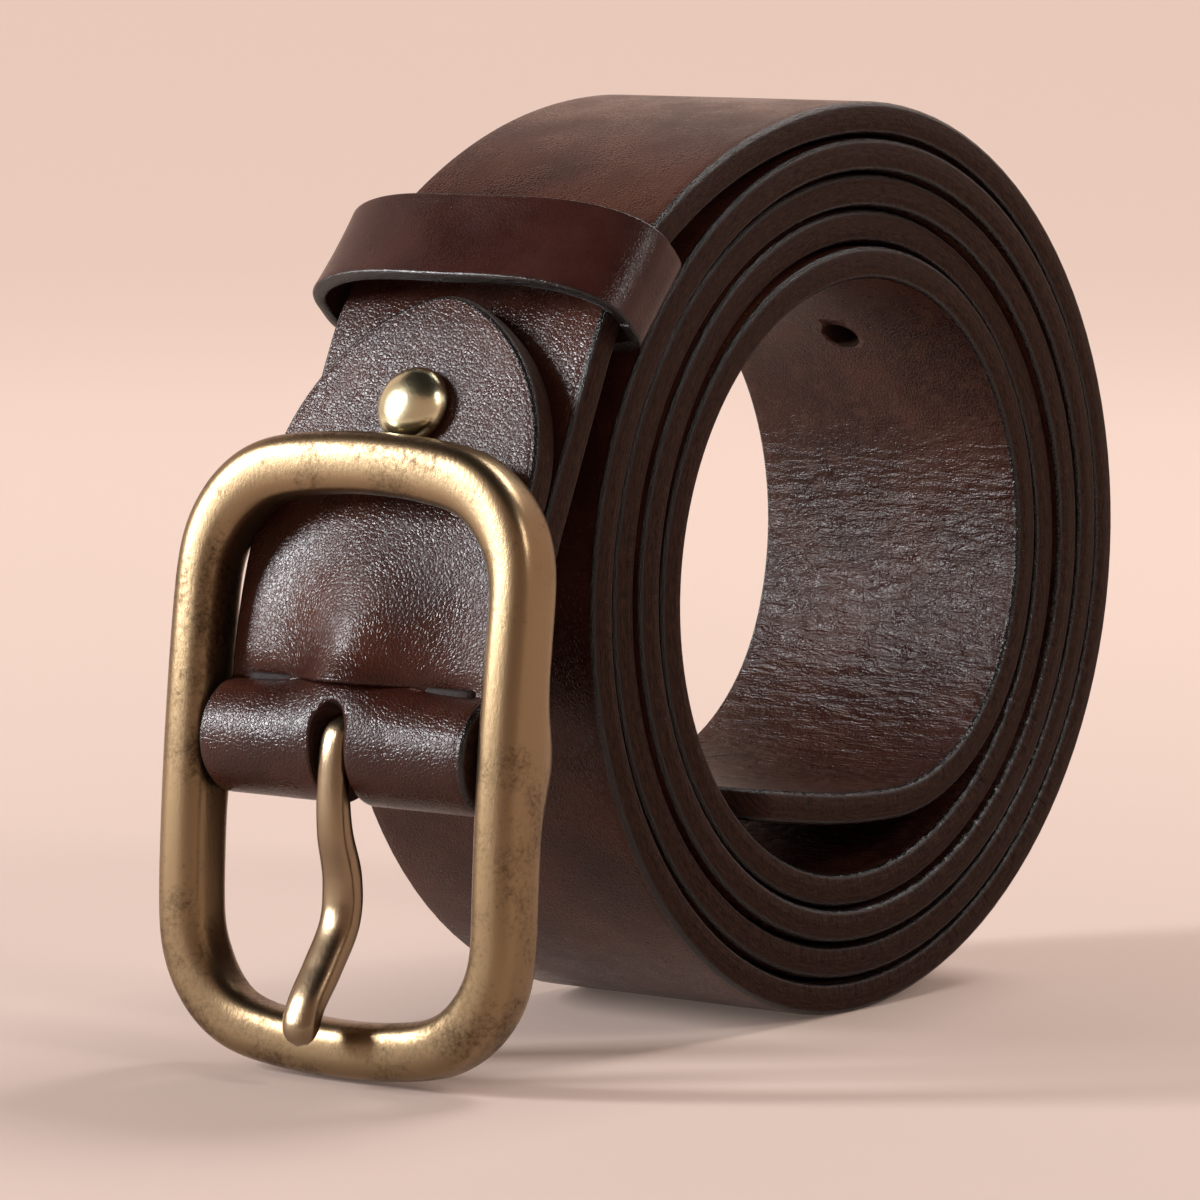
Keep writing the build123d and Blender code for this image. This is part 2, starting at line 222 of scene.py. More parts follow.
def trace(chain, distance):
    """Points and headings at these distances along a chain."""
    link = np.searchsorted(chain["from"], distance, side="right") - 1
    link = np.clip(link, 0, len(chain["curvature"]) - 1)
    rest = distance - chain["from"][link]
    curvature = chain["curvature"][link]
    point = chain["point"][link] + np.exp(1j * chain["heading"][link]) * bend_by(curvature, rest)
    return point, chain["heading"][link] + curvature * rest


# %% From the bar up into the coil
lead_radius, lead_turn = 67.0, 36.0
neck_radius, neck_turn = 32.1, 65.5
bar_side_turn = 88.0
middle_radius = coil_radius - half
wrap_radius = bar_radius + wrap_clearance + half
bar_back = bar - 1j * unit(bar_side_turn) * wrap_radius
coil_top = complex(coil_y, coil_radius + middle_radius)
bends = 1j * ((unit(lead_turn) - unit(neck_turn)) * neck_radius + (1 - unit(lead_turn)) * lead_radius)
gap = coil_top - bar_back - bends
drape = 1j * (unit(neck_turn) - unit(bar_side_turn))
run = unit(neck_turn)
sides = np.array([[drape.real, run.real], [drape.imag, run.imag]])
drape_radius, straight_run = np.linalg.solve(sides, [gap.real, gap.imag])
coil_bends = [(drape_radius, neck_turn - bar_side_turn), (straight_run, 0)]
coil_bends += [(neck_radius, lead_turn - neck_turn), (lead_radius, -lead_turn)]
for turn in range(turns):
    coil_bends += [(middle_radius - turn * turn_pitch, -180)]
    coil_bends += [(middle_radius - (turn + 0.5) * turn_pitch, -180)]
inner_radius = middle_radius - turns * turn_pitch
coil_bends += [(inner_radius, -110), (26.7, -70), (130, -8)]
coil_line = plan(bar_back, bar_side_turn, coil_bends)

# %% The free end stops short of the wall that it points at
tail_gap = 0.5
wall_centre = complex(coil_y, coil_radius - turn_pitch / 2)
wall_radius = inner_radius + turn_pitch / 2 - half
tail_heading = np.exp(1j * coil_line["heading"][-1])
toe = coil_line["point"][-1] + 1j * tail_heading * half - wall_centre
ahead = (toe * np.conj(tail_heading)).real
tail_run = np.sqrt(ahead**2 - abs(toe) ** 2 + wall_radius**2) - ahead - tail_gap
coil_line = plan(bar_back, bar_side_turn, coil_bends + [(tail_run, 0)])
tail_end = coil_line["from"][-1]
neck_start, lead_stop = coil_line["from"][[2, 4]]
print("bar to free end:", round(tail_end), "mm")

# %% Round the bar and up the folded end
crease_radius, tab_tip_turn = 2.6, 57.0
drape_centre = bar_back - 1j * unit(bar_side_turn) * drape_radius
tab_drape_radius = drape_radius + layer_pitch
near, far = wrap_radius + crease_radius, tab_drape_radius + crease_radius
span = abs(drape_centre - bar)
back_part = (span**2 + near**2 - far**2) / (2 * span)
side_part = np.sqrt(near**2 - back_part**2)
crease_centre = bar + (drape_centre - bar) / span * complex(back_part, side_part)
wrap_end = np.degrees(np.angle(crease_centre - bar))
crease_end = np.degrees(np.angle(crease_centre - drape_centre)) - 90
fold_bends = [(wrap_radius, wrap_end - 270 - bar_side_turn)]
fold_bends += [(crease_radius, crease_end - wrap_end + 90)]
fold_bends += [(tab_drape_radius, neck_turn - crease_end), (straight_run, 0)]
fold_bends += [(neck_radius + layer_pitch, tab_tip_turn - neck_turn)]
fold_line = plan(bar_back, bar_side_turn + 180, fold_bends)
tab_end = -fold_line["from"][-1]
crease_top = -fold_line["from"][2]
print("folded end:", round(-tab_end), "mm, crease at", round(-crease_top, 1))

# %% [markdown]
# ## From flat leather to the rolled belt
#
# A point of the leather has three numbers: its distance along the belt, its place across the
# width and its level in the thickness, up towards the grain side. One function carries all
# three to the belt's real shape. The leather isn't a perfect ribbon, so the same function adds
# what the hand leaves: turns that don't lie quite flush, a swell where the fold is pushed out
# over the prong, which also fills the crease there, and a dip where each lace stitch pulls the
# fold in.

# %% One map for every point of the leather
lace_centre, lace_above_crease = 12.4, -0.3
swell_height, swell_width = 3.8, 6.6


def bump(value, centre, width):
    """A smooth hill of height 1."""
    return np.exp(-(((value - centre) / width) ** 2))


def on_belt(distance, across, level):
    """The place of leather points: the line's point, moved out along its normal by the level."""
    distance, across, level = np.broadcast_arrays(distance, across, level)
    coil_point, coil_heading = trace(coil_line, np.maximum(distance, 0))
    fold_point, fold_heading = trace(fold_line, np.maximum(-distance, 0))
    point = np.where(distance >= 0, coil_point, fold_point)
    heading = np.where(distance >= 0, coil_heading, fold_heading + np.pi)
    # turns of the coil: small shifts sideways and in and out
    loose = np.clip((distance - lead_stop) / 80, 0, 1)
    sideways = loose * (0.35 * np.sin(distance / 61 + 0.6) + 0.2 * np.sin(distance / 23))
    outwards = loose * (0.06 * np.sin(distance / 37) + 0.04 * np.sin(distance / 11 + across / 9))
    # the fold: a swell over the prong's eye, its crease filled there, and a dip under each stitch
    above = crease_top - distance
    fade = np.where(above > 0, 13.0, 5.0)
    swell = swell_height * bump(across, 0, swell_width + 0.25 * np.maximum(above, 0))
    swell = swell * bump(above, -0.5, fade)
    outside = np.clip(0.5 - level / strap_thickness, 0, 1)
    filled = 1.3 * outside * bump(across, 0, 7) * bump(above, 0, 2.2)
    aside = np.abs(across)
    dip = 0.9 * outside * bump(aside, lace_centre, 4.6) * bump(above, lace_above_crease, 1.6)
    puff = 0.35 * outside * bump(aside, lace_centre, 9) * bump(above, -3.5, 3.0)
    outwards = outwards - np.where(distance < 0, swell + filled - dip + puff, 0)
    place = point + 1j * np.exp(1j * heading) * (level + outwards)
    return np.stack([across + sideways, place.real, place.imag], -1) * MM


print("bar to keeper:", on_belt(neck_start, 0.0, half).round(4))

# %% [markdown]
# ## The section of the leather
#
# A cut edge of thick leather is bevelled and rubbed round, so the section is a rectangle with
# rounded corners and a slightly full edge. It is stored as an inset from the edge and a level,
# because an inset can be taken square to any outline: that gives the pointed end of the fold
# the same bevel all the way round its tip.

# %% A section, and the outline of a tongue
def section(thickness, bevel, face_steps, fullness=0.12):
    """Columns round a leather section: side, inset from the edge, level, and share of the width."""
    top = thickness / 2
    corner = np.linspace(0, np.pi / 2, 5)[1:]
    corner_inset = fullness + (bevel - fullness) * (1 - np.sin(corner))
    corner_level = top - bevel * (1 - np.cos(corner))
    edge_level = np.array([0.5, 0, -0.5]) * (top - bevel)
    edge_inset = fullness * (edge_level / (top - bevel)) ** 2
    share = np.linspace(0, 1, face_steps)
    face_inset, face_level = np.full(face_steps, bevel), np.full(face_steps, top)
    inset = [face_inset, corner_inset, edge_inset, corner_inset[::-1], face_inset]
    level = [face_level, corner_level, edge_level, -corner_level[::-1], -face_level]
    inset, level = np.concatenate(inset), np.concatenate(level)
    width = np.concatenate([share, np.ones(len(inset) - 2 * face_steps), share[::-1]])
    side = np.ones(len(inset))
    halves = ((side, -1), (inset, 1), (level, 1), (width, 1))
    return tuple(np.concatenate([part, sign * part[-2:0:-1]]) for part, sign in halves)


def tongue(half_width, flank, nose, apex=0.0):
    """A rounded end: a nose circle in the middle that runs into a flank circle on each side.
    Gives the distance of both centres from the tip, and the distance at which they meet."""
    nose_centre = apex + nose
    offset = np.sqrt((nose - flank) ** 2 - (half_width - flank) ** 2) * np.sign(flank - nose)
    flank_centre = nose_centre + offset
    meet = nose_centre + offset * nose / (nose - flank)
    circles = {"half": half_width, "flank": flank, "nose": nose}
    return {**circles, "nose_at": nose_centre, "flank_at": flank_centre, "meet": meet, "apex": apex}


def leather_grid(end, distance, cut):
    """Distance from the tip and place across, for rows at these distances and a section's columns.
    Each column is moved from the outline along the inward normal of its circle, by its inset."""
    side, inset, _, share = cut
    nosed = distance < end["meet"]
    centre = np.where(nosed, end["nose_at"], np.maximum(end["flank_at"], distance))[:, None]
    radius = np.where(nosed, end["nose"], end["flank"])[:, None]
    middle = np.where(nosed, 0, end["half"] - end["flank"])[:, None]
    rise = np.sqrt(np.maximum(radius**2 - (centre - distance[:, None]) ** 2, 0))
    from_tip = distance[:, None] + inset * (centre - distance[:, None]) / radius
    across = side * share * (middle + rise * (1 - inset / radius))
    return from_tip, across


def tip_rows(end, count):
    """Distances from the tip, crowded where the outline runs across the strap."""
    turn = np.linspace(0, np.pi / 2, count)
    return end["apex"] + (end["flank_at"] - end["apex"]) * (1 - np.cos(turn))


# %% [markdown]
# ## The strap
#
# The strap is one sheet of points from the tip of the fold to the free end. Rows lie closer
# together where the leather bends sharply or is seen best. Two UV maps go with it: one holds
# metres along and round the section, for wrinkles and fibres, and one says how near a point is
# to the cut edge and which side of the leather it is on.

# %% Rows along the whole strap
tab_flank, tab_nose = 24.0, 9.0
flank_offset = tab_flank - strap_width / 2
tab_shoulder = np.sqrt(tab_flank**2 - flank_offset**2)
tab_apex = tab_shoulder - np.sqrt((tab_flank - tab_nose) ** 2 - flank_offset**2) - tab_nose
tab_shape = tongue(strap_width / 2, tab_flank, tab_nose, tab_apex)
tail_shape = tongue(strap_width / 2, 3.0, 70.0)
bevel = 0.95
strap_cut = section(strap_thickness, bevel, 19)


def rows_between(start, stop, spacing):
    """Evenly spaced distances, without the last one."""
    return np.linspace(start, stop, int(np.ceil((stop - start) / spacing)) + 1)[:-1]


hollow_length = 250
visible_turn = tail_end - hollow_length
body_rows = np.concatenate([
    rows_between(tab_end + tab_shape["flank_at"], crease_top - 8, 1.0)[1:],
    rows_between(crease_top - 8, 9, 0.45),
    rows_between(9, lead_stop, 1.3),
    rows_between(lead_stop, visible_turn, 3.0),
    rows_between(visible_turn, tail_end - tail_shape["flank_at"], 1.5),
])
tab_from_tip, tab_across = leather_grid(tab_shape, tip_rows(tab_shape, 30), strap_cut)
body_from_tip, body_across = leather_grid(tab_shape, body_rows - tab_end, strap_cut)
tail_from_tip, tail_across = leather_grid(tail_shape, tip_rows(tail_shape, 14)[::-1], strap_cut)
strap_distance = [tab_end + tab_from_tip, tab_end + body_from_tip, tail_end - tail_from_tip]
strap_distance = np.concatenate(strap_distance)
strap_across = np.concatenate([tab_across, body_across, tail_across])
print("rows and columns:", strap_distance.shape)

# %% UV maps that know the distances
def leather_layers(distance, across, cut, thickness):
    """Along: metres along and round the section. Zone: 0 on a face to 1 on the cut edge, and
    1 on the grain side to 0 on the flesh side. The folded end is dressed on both sides."""
    _, inset, level, share = cut
    level = np.broadcast_to(level, across.shape)
    inner = np.where(share < 1, 0, 1)
    edge = inner * np.clip(1 - (inset - 0.12) / (bevel - 0.12), 0, 1)
    edge = np.broadcast_to(edge, across.shape)
    round_section = across + thickness / 2 - level
    along_uv = np.stack([distance * MM, round_section * MM], -1)
    dressed = np.where(distance < 3, 1, level / thickness + 0.5)
    zone_uv = np.stack([edge, dressed], -1)
    return [("along", along_uv), ("zone", zone_uv)]


strap_points = on_belt(strap_distance, strap_across, strap_cut[2])
strap_layers = leather_layers(strap_distance, strap_across, strap_cut, strap_thickness)
strap = skin("belt_strap", strap_points, strap_layers)
print("strap faces:", len(strap.data.polygons))

# %% [markdown]
# ### Holes and slot
#
# The five belt holes and the slot for the prong are cut with a boolean. The cutters are made
# in leather coordinates too, and go through the same map, so each one follows the bend of the
# leather where it cuts.

# %% Cutters, bent with the leather
hole_radius, hole_pitch, hole_count, first_hole = 2.3, 25.0, 5, 103.0
slot_width, slot_rise, slot_back = 5.0, 4.6, 7.0
slot_front = -wrap_radius * (np.pi + np.arcsin(slot_rise / (wrap_radius + half)))


def cutter(name, start, stop, half_width, spacing):
    """A closed plug with round ends, as deep as the leather and a little more."""
    cut = section(strap_thickness + 0.4, 0.05, 3, 0.0)
    shape = tongue(half_width, half_width * 0.999, half_width)
    ends = tip_rows(shape, 12)
    middle = rows_between(start + half_width, stop - half_width, spacing)[1:]
    low_tip, low_across = leather_grid(shape, ends, cut)
    mid_tip, mid_across = leather_grid(shape, middle - start, cut)
    distance = np.concatenate([start + low_tip, start + mid_tip, stop - low_tip[::-1]])
    across = np.concatenate([low_across, mid_across, low_across[::-1]])
    layers = leather_layers(distance, across, cut, strap_thickness)
    # the whole plug counts as cut edge, so the walls it leaves look cut
    layers[1][1][...] = (1.0, 0.5)
    return skin(name, on_belt(distance, across, cut[2]), layers)


def cut_away(piece, tools):
    """Takes the tools away from the piece, and keeps the result as its mesh."""
    for tool in tools:
        change = piece.modifiers.new(tool.name, "BOOLEAN")
        change.operation = "DIFFERENCE"
        change.solver = "EXACT"
        change.object = tool
    bpy.context.view_layer.update()
    result = bpy.data.meshes.new_from_object(piece.evaluated_get(bpy.context.evaluated_depsgraph_get()))
    piece.modifiers.clear()
    piece.data = result
    for tool in tools:
        bpy.data.objects.remove(tool)


plugs = [cutter("slot", slot_front, slot_back, slot_width / 2, 0.4)]
for hole in range(hole_count):
    centre = tail_end - first_hole - hole * hole_pitch
    start, stop = centre - hole_radius, centre + hole_radius
    plugs.append(cutter(f"hole_{hole}", start, stop, hole_radius, 1))
cut_away(strap, plugs)
strap.data.shade_smooth()
print("strap faces with holes and slot:", len(strap.data.polygons))

# %% [markdown]
# ## Leather finishes
#
# One leather shows three finishes. The faces are dyed dark brown and waxed: close up the shine
# breaks up on fine pebbled grain. On the flesh side, inside the coil, the same dye lies on
# looser fibres, dull and mottled, with shiny cross wrinkles low in the hollow, where the leather
# is squeezed; there its colour is darkened as painted shade. The cut edges are brown and fibrous
# between two black, glossy bevels.
#
# The maps made above say which finish a point has, so one material holds all three, and no
# line between them needs a seam in the mesh.

# %% A short way to write node trees
def new_material(name):
    """An empty material with its Principled shader."""
    material = bpy.data.materials.new(name)
    material.use_nodes = True
    tree = material.node_tree
    return material, tree, tree.nodes["Principled BSDF"]


def add_node(tree, kind, settings=(), **inputs):
    """Adds a node. Settings are its own options, and inputs are its sockets, by name or, for
    sockets that share a name, by _ and a number. A value that is a socket is linked."""
    made = tree.nodes.new("ShaderNode" + kind)
    for option, value in dict(settings).items():
        setattr(made, option, value)
    for key, value in inputs.items():
        socket = made.inputs[int(key[1:])] if key[0] == "_" else made.inputs[key.replace("_", " ")]
        if isinstance(value, bpy.types.NodeSocket):
            tree.links.new(value, socket)
        else:
            socket.default_value = value
    return made


def noise(tree, coordinates, scale, detail=3.0, roughness=0.55, distortion=0.0):
    """Smooth noise from 0 to 1, with scale in cells per metre."""
    made = add_node(tree, "TexNoise", Vector=coordinates, Scale=scale, Detail=detail,
                    Roughness=roughness, Distortion=distortion)
    return made.outputs["Fac"]


def spread(tree, value, low, high, to_low=0.0, to_high=1.0):
    """Maps low..high to to_low..to_high, smoothly and clamped."""
    made = add_node(tree, "MapRange", {"interpolation_type": "SMOOTHSTEP"}, Value=value,
                    From_Min=low, From_Max=high, To_Min=to_low, To_Max=to_high)
    return made.outputs["Result"]


def math(tree, operation, first, second=0.0):
    """One sum or product of two values."""
    return add_node(tree, "Math", {"operation": operation}, _0=first, _1=second).outputs["Value"]


def mix_colours(tree, share, first, second):
    """A blend of two colours, or of a colour and a socket."""
    return add_node(tree, "Mix", {"data_type": "RGBA"}, _0=share, _6=first, _7=second).outputs[2]


def mix_values(tree, share, first, second):
    """A blend of two values."""
    return add_node(tree, "Mix", {"data_type": "FLOAT"}, _0=share, _2=first, _3=second).outputs[0]


def object_place(tree):
    """Where a point is on the belt, in metres."""
    return add_node(tree, "TexCoord").outputs["Object"]


def part_of(tree, vector, letter):
    """The X, Y or Z of a vector."""
    return add_node(tree, "SeparateXYZ", Vector=vector).outputs[letter]


def uv_place(tree, layer, scale=(1, 1, 1)):
    """A UV map of the piece, stretched: a large scale makes a pattern small in that direction."""
    uv = add_node(tree, "UVMap", {"uv_map": layer}).outputs["UV"]
    return add_node(tree, "Mapping", Vector=uv, Scale=scale).outputs["Vector"]


def pebbles(tree, coordinates, cell, crease):
    """Pebbled grain: rounded cells of this size in metres, with creases between them."""
    wander = add_node(tree, "TexNoise", Vector=coordinates, Scale=0.7 / cell, Detail=2.0)
    moved = add_node(tree, "VectorMath", {"operation": "MULTIPLY_ADD"},
                     _0=wander.outputs["Color"], _1=(cell, cell, cell), _2=coordinates)
    cells = add_node(tree, "TexVoronoi", {"feature": "DISTANCE_TO_EDGE"},
                     Vector=moved.outputs["Vector"], Scale=1 / cell)
    return spread(tree, cells.outputs["Distance"], 0.0, crease)


def lift(tree, height, distance, normal=None):
    """A bump of this height in metres, on top of an earlier one if there is one."""
    inputs = {"Height": height, "Distance": distance, "Strength": 1.0}
    if normal is not None:
        inputs["Normal"] = normal
    return add_node(tree, "Bump", **inputs).outputs["Normal"]


# %% The strap's leather
def leather(name, deep, warm, face_roughness, pebble, pebble_height, wrinkles):
    """Waxed leather with a pebbled face, a mottled and wrinkled flesh side with painted shade low down,
    and burnished edges.
    """
    material, tree, shader = new_material(name)
    place = object_place(tree)
    zone = add_node(tree, "SeparateXYZ", Vector=uv_place(tree, "zone"))
    edge, side = zone.outputs["X"], zone.outputs["Y"]
    grain_side = spread(tree, side, 0.35, 0.65)
    clouds = noise(tree, place, 70, 4)
    mottle = noise(tree, place, 420, 4, 0.7)
    flesh_side = math(tree, "SUBTRACT", 1.0, grain_side)
    low_down = spread(tree, part_of(tree, place, "Z"), 0.054, 0.074, 1.0, 0.08)
    # painted shade: this mask darkens the flesh side low in the coil below, and also places the cross
    # wrinkles there
    squeezed_and_shaded = math(tree, "MULTIPLY", flesh_side, low_down)
    bevelled = spread(tree, edge, 0.05, 0.35)
    bare = spread(tree, edge, 0.72, 0.98)
    # colour: dark, warmer in clouds; paler specks on the flesh side, and painted shade low in the
    # hollow, where it is squeezed
    face = mix_colours(tree, spread(tree, clouds, 0.35, 0.7), (*deep, 1), (*warm, 1))
    speck = math(tree, "MULTIPLY", spread(tree, mottle, 0.45, 0.75), flesh_side)
    speck = math(tree, "MULTIPLY", speck, wrinkles)
    face = mix_colours(tree, speck, face, (0.062, 0.026, 0.015, 1))
    shade = math(tree, "MULTIPLY", squeezed_and_shaded, 0.35)
    face = mix_colours(tree, shade, face, (0.010, 0.0034, 0.0028, 1))
    fibres = noise(tree, uv_place(tree, "along", (700, 2600, 1)), 1, 5, 0.7)
    dark_fibre, pale_fibre = (0.012, 0.0050, 0.0036, 1), (0.050, 0.0225, 0.0145, 1)
    cut = mix_colours(tree, spread(tree, fibres, 0.3, 0.75), dark_fibre, pale_fibre)
    black = mix_colours(tree, bevelled, face, (0.004, 0.003, 0.0032, 1))
    tree.links.new(mix_colours(tree, bare, black, cut), shader.inputs["Base Color"])
    # roughness: the wax is worn in patches, the cut edge is dull, its bevels shine
    patches = noise(tree, place, 160, 3)
    worn = spread(tree, patches, 0.3, 0.7, face_roughness - 0.05, face_roughness + 0.07)
    flesh = spread(tree, mottle, 0.35, 0.7, face_roughness, face_roughness + 0.14)
    rough = mix_values(tree, grain_side, flesh, worn)
    rough = mix_values(tree, bevelled, rough, 0.24)
    rough = mix_values(tree, bare, rough, 0.6)
    tree.links.new(rough, shader.inputs["Roughness"])
    # relief: grain on the faces, wrinkles across the squeezed side, fibres along the cut
    grain = lift(tree, pebbles(tree, place, pebble, 0.28), pebble_height)
    folds = noise(tree, uv_place(tree, "along", (720, 210, 1)), 1, 4, 0.62, 0.35)
    depth = math(tree, "MULTIPLY", folds, squeezed_and_shaded)
    wrinkled = lift(tree, depth, wrinkles * 0.75 * MM, grain)
    fibrous = lift(tree, math(tree, "MULTIPLY", fibres, edge), 0.4 * MM, wrinkled)
    tree.links.new(fibrous, shader.inputs["Normal"])
    shine = mix_values(tree, bevelled, 0.26, 0.55)
    tree.links.new(mix_values(tree, bare, shine, 0.08), shader.inputs["Specular IOR Level"])
    return material


strap_leather = leather("strap_leather", (0.026, 0.0072, 0.0048), (0.056, 0.0175, 0.0104),
                        face_roughness=0.26, pebble=0.48 * MM, pebble_height=0.027 * MM, wrinkles=1.0)
strap.data.materials.clear()
strap.data.materials.append(strap_leather)
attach(strap, "strap")
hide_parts("strap")
print("strap material:", strap_leather.name)

# %% [markdown]
# ## The keeper
#
# The keeper is a band of thinner leather, bent round the strap and joined behind it. It lies
# close to the strap at the back and stands away in front, where the folded end would pass under it. Its
# line is a rounded oblong, fuller in front than behind, and the leather's section is carried
# round it.

# %% Rounded oblongs as a formula
def oblong(angle, half_width, front, back, front_power, back_power):
    """Points of a rounded oblong, X + i level, at these angles: each coordinate is a power of a
    cosine or sine. A power of 2 gives an ellipse, and a higher one squarer corners."""
    cos, sin = np.cos(angle), np.sin(angle)
    power = np.where(sin > 0, front_power, back_power)
    depth = np.where(sin > 0, front, back)
    wide = half_width * np.sign(cos) * np.abs(cos) ** (2 / power)
    return wide + 1j * depth * np.sign(sin) * np.abs(sin) ** (2 / power)


def carried(line, columns_out):
    """Carries a section round a closed line in its plane: each line point gets the section's
    outward part along the line's normal. Gives X + i level."""
    way = np.roll(line, -1) - np.roll(line, 1)
    normal = -1j * way / np.abs(way)
    return line[:, None] + normal[:, None] * columns_out[None, :]


def even(line, count):
    """The same closed line with points the same distance apart."""
    closed = np.append(line, line[0])
    length = np.concatenate([[0], np.cumsum(np.abs(np.diff(closed)))])
    place = np.linspace(0, length[-1], count + 1)[:-1]
    return np.interp(place, length, closed.real) + 1j * np.interp(place, length, closed.imag)


keeper_heading, keeper_band, keeper_leather = 48.5, 11.6, 1.8
keeper_joint = np.array(joints["keeper_travel"]["pos_m"])[1:] / MM
keeper_along = unit(keeper_heading)
keeper_out = 1j * keeper_along
keeper_middle = complex(*keeper_joint) + neck_radius * keeper_out
keeper_half, keeper_front, keeper_back, keeper_level_shift = 21.5, 6.9, 4.7, 0.95
keeper_rows = 240
keeper_turn = np.linspace(0, 2 * np.pi, 2001)[:-1]
keeper_oblong = oblong(keeper_turn, keeper_half, keeper_front, keeper_back, 2.25, 6.0)
keeper_line = even(keeper_oblong + 1j * keeper_level_shift, keeper_rows)
keeper_bevel = 0.45
keeper_cut = section(keeper_leather, keeper_bevel, 9, 0.05)
side, inset, level, share = keeper_cut
keeper_across = side * share * (keeper_band / 2 - inset)
keeper_place = carried(keeper_line, level)
wave = 0.25 * np.sin(3 * np.linspace(0, 2 * np.pi, keeper_rows, endpoint=False))[:, None]
cupped = 0.25 * (keeper_across / (keeper_band / 2)) ** 2
keeper_level = keeper_place.imag + np.where(keeper_place.imag > keeper_level_shift, cupped, 0)
keeper_path = keeper_middle + keeper_along * (keeper_across + wave) + keeper_out * keeper_level
keeper_points = np.stack([keeper_place.real, keeper_path.real, keeper_path.imag], -1) * MM
keeper_distance = np.broadcast_to(np.linspace(0, 100, keeper_rows)[:, None], keeper_place.shape)
keeper_spots = np.broadcast_to(keeper_across, keeper_place.shape)
keeper_zones = (side, inset + bevel - keeper_bevel, level, share)
keeper_layers = leather_layers(keeper_distance, keeper_spots, keeper_zones, keeper_leather)
keeper = skin("belt_keeper", keeper_points, keeper_layers, wrap_rows=True)
keeper_finish = leather("keeper_leather", (0.024, 0.0070, 0.0058), (0.044, 0.0140, 0.0106),
                        face_roughness=0.27, pebble=0.42 * MM, pebble_height=0.016 * MM, wrinkles=0.35)
keeper.data.materials.append(keeper_finish)
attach(keeper, "keeper")
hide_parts("keeper_loop")
print("keeper", [round(v, 4) for v in keeper.dimensions])

# %% [markdown]
# ## Thread and lace
#
# The keeper's ends are joined with three stitches of waxed thread. The fold is held by two
# stitches of flat lace, one each side of the prong, which sink a little into the leather. Both
# are loops of one kind: an oblong line with a small rounded section carried round it.

# %% Loops of thread and lace
def loop(name, centre, axis_level, half_size, section_half, power, material, body, node):
    """A stitch: a closed oblong line across the strap, of this half length and half height,
    standing on a level axis in the side view. Its rounded section has a half height and width."""
    half_length, half_height = half_size
    turn = np.linspace(0, 2 * np.pi, 801)[:-1]
    line = even(oblong(turn, half_length, half_height, half_height, 5, 5), 72)
    angle = np.linspace(0, 2 * np.pi, 17)[:-1]
    thick, wide = section_half
    out = thick * np.sign(np.cos(angle)) * np.abs(np.cos(angle)) ** (2 / power)
    along_band = wide * np.sign(np.sin(angle)) * np.abs(np.sin(angle)) ** (2 / power)
    place = carried(line, out)
    point = centre[1] + axis_level * place.imag - 1j * axis_level * along_band[None, :]
    points = np.stack([centre[0] + place.real, point.real, point.imag], -1) * MM
    piece = skin(name, points, wrap_rows=True)
    piece.data.materials.append(material)
    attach(piece, body)
    if node:
        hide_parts(node)


def plain_leather(name, colour, pale, roughness):
    """Lace or waxed thread: one colour with fine streaks, and a fine fibrous relief."""
    material, tree, shader = new_material(name)
    streaks = noise(tree, object_place(tree), 1400, 4, 0.7)
    colour = mix_colours(tree, spread(tree, streaks, 0.35, 0.7), (*colour, 1), (*pale, 1))
    tree.links.new(colour, shader.inputs["Base Color"])
    tree.links.new(lift(tree, streaks, 0.12 * MM), shader.inputs["Normal"])
    shader.inputs["Roughness"].default_value = roughness
    shader.inputs["Specular IOR Level"].default_value = 0.2
    return material


lace_finish = plain_leather("lace_leather", (0.010, 0.0045, 0.004), (0.024, 0.012, 0.010), 0.62)
thread_finish = plain_leather("waxed_thread", (0.02, 0.011, 0.009), (0.05, 0.03, 0.025), 0.5)
stack = 2 * strap_thickness + 0.3
crease_point, _ = trace(fold_line, np.array([-crease_top]))
crease_out = 1j * unit(crease_end)
lace_point = crease_point[0] + unit(crease_end) * lace_above_crease - crease_out * layer_pitch / 2
for name, where in (("lace_left", -lace_centre), ("lace_right", lace_centre)):
    loop("belt_" + name, (where, lace_point), crease_out, (3.9, stack / 2 - 0.05), (0.45, 0.8), 2.6,
         lace_finish, "strap", name)
stitch_level = -(half + 1.0 + keeper_leather / 2)
for count, shift in enumerate((-2.9, 0.0, 2.9)):
    stitch_point = keeper_middle + keeper_along * shift + keeper_out * stitch_level
    node = "keeper_stitches" if count == 0 else None
    loop(f"keeper_stitch_{count + 1}", (0, stitch_point), keeper_out, (3.2, 1.15), (0.25, 0.25), 2,
         thread_finish, "keeper", node)
print("lace at", lace_point)

# %% [markdown]
# ## Brass
#
# The buckle is cast brass with an antique finish: tumbled until every corner is soft, darkened,
# and rubbed bright again where hands touch it. So its colour runs from pale gold to brown, in
# patches and fine specks, and its shine is broad rather than sharp.

# %% Antique brass and polished brass
def brass(name, bright, aged, roughness, age, brushed):
    """Metal whose colour and roughness change in patches and in fine specks."""
    material, tree, shader = new_material(name)
    place = object_place(tree)
    patches = noise(tree, place, 95, 4, 0.6)
    specks = noise(tree, place, 1500, 3, 0.8)
    ageing = mix_values(tree, 0.38, patches, specks)
    ageing = spread(tree, ageing, 0.66 - age, 0.86 - age)
    tree.links.new(mix_colours(tree, ageing, (*bright, 1), (*aged, 1)), shader.inputs["Base Color"])
    tree.links.new(spread(tree, ageing, 0, 1, roughness, roughness + 0.12), shader.inputs["Roughness"])
    stretched = add_node(tree, "Mapping", Vector=place, Scale=(1, 1, brushed)).outputs["Vector"]
    rubbed = noise(tree, stretched, 2600, 3, 0.7)
    tree.links.new(lift(tree, rubbed, 0.025 * MM), shader.inputs["Normal"])
    shader.inputs["Metallic"].default_value = 1.0
    return material


